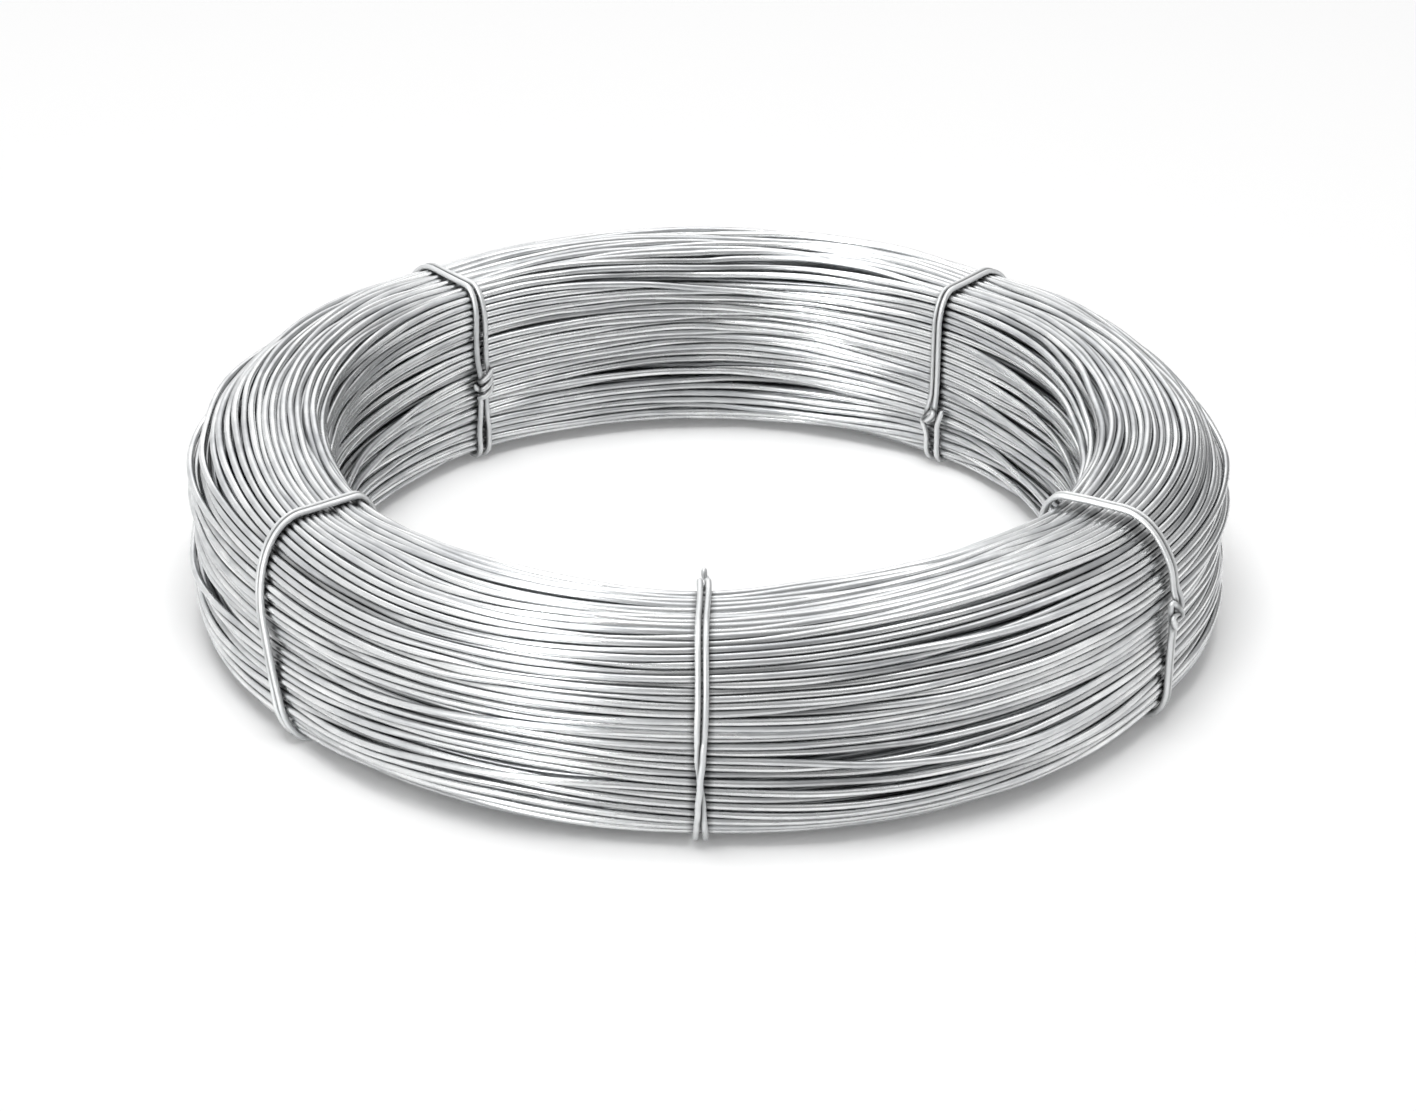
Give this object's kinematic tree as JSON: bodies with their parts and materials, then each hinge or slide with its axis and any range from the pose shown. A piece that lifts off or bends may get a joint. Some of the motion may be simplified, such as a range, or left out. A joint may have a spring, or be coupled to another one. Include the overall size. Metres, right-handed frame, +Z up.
{
  "type": "coil of galvanised wire",
  "caption": "Flat-lying ring-shaped coil of bright galvanised steel wire with an open eye, bound round its section by doubled and twisted wire ties.",
  "frame": {"origin": "on the coil's axis, on the floor that the coil lies on", "axes": "+Z up along the eye of the coil, -Y towards the front tie, +X to the viewer's right"},
  "size_m": [0.45, 0.4528, 0.0912],
  "materials": {
    "galvanised_wire": "drawn steel wire, bright hot-dip zinc, lengthwise draw lines",
    "tie_wire": "annealed tie wire, hot-dip zinc, a little duller than the coil"
  },
  "bodies": {
    "root": {"wire_coil": "galvanised_wire", "tie_front": "tie_wire", "tie_left": "tie_wire", "tie_right": "tie_wire", "tie_back_left": "tie_wire", "tie_back_right": "tie_wire"}
  },
  "joints": []
}
